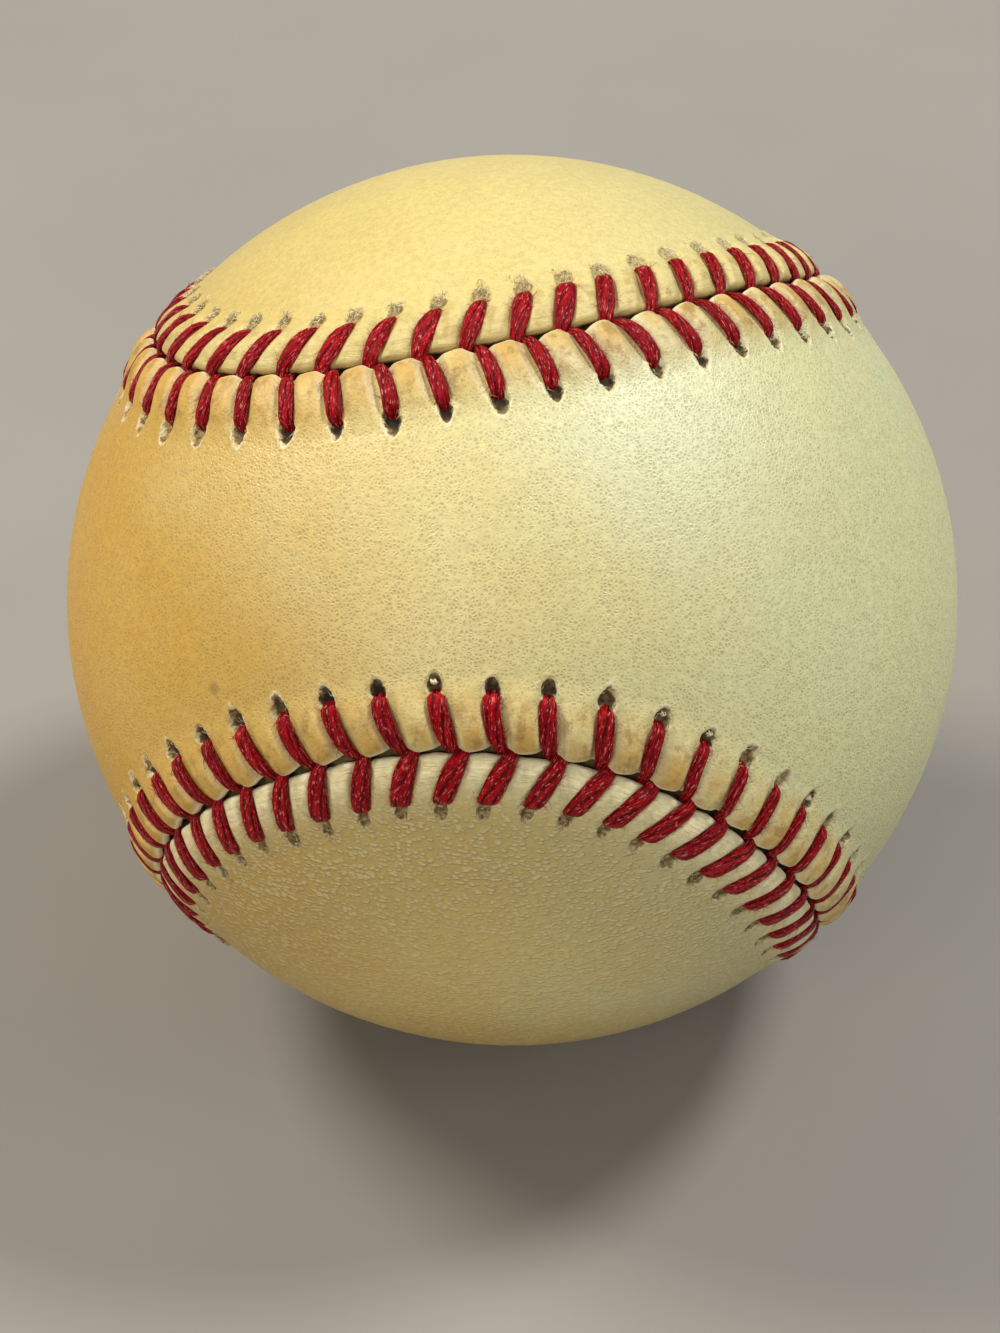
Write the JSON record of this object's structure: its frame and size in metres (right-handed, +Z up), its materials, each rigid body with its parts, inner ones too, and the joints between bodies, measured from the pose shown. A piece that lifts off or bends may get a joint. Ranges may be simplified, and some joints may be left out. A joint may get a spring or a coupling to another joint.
{
  "type": "baseball",
  "caption": "Sewn leather baseball with raised red stitching, aged yellow cream hide, yarn windings and a cork and rubber centre.",
  "frame": {"origin": "middle of the ball", "axes": "+Z up as the ball lies in the picture, +Y away from the viewer, +X to the viewer's right"},
  "size_m": [0.0738, 0.0738, 0.0738],
  "materials": {
    "cork": "coarse cork and rubber grains, matt",
    "black_rubber": "moulded, matt",
    "red_rubber": "moulded, matt",
    "grey_wool": "tight wound wool yarn",
    "white_wool": "tight wound wool yarn",
    "fine_yarn": "fine wound cotton and polyester yarn",
    "glue": "dried latex, satin",
    "leather": "aged smooth hide with a fine pore grain, satin",
    "red_thread": "waxed cotton, soft gloss"
  },
  "bodies": {
    "root": {"cork_core": "cork", "inner_shell_upper": "black_rubber", "inner_shell_lower": "black_rubber", "inner_gasket": "red_rubber", "outer_shell_upper": "red_rubber", "outer_shell_lower": "red_rubber", "thick_wool_winding": "grey_wool", "white_wool_winding": "white_wool", "thin_wool_winding": "grey_wool", "finishing_winding": "fine_yarn", "adhesive_coat": "glue", "cover_panel_a": "leather", "cover_panel_b": "leather", "seam_thread": "red_thread"}
  },
  "joints": []
}
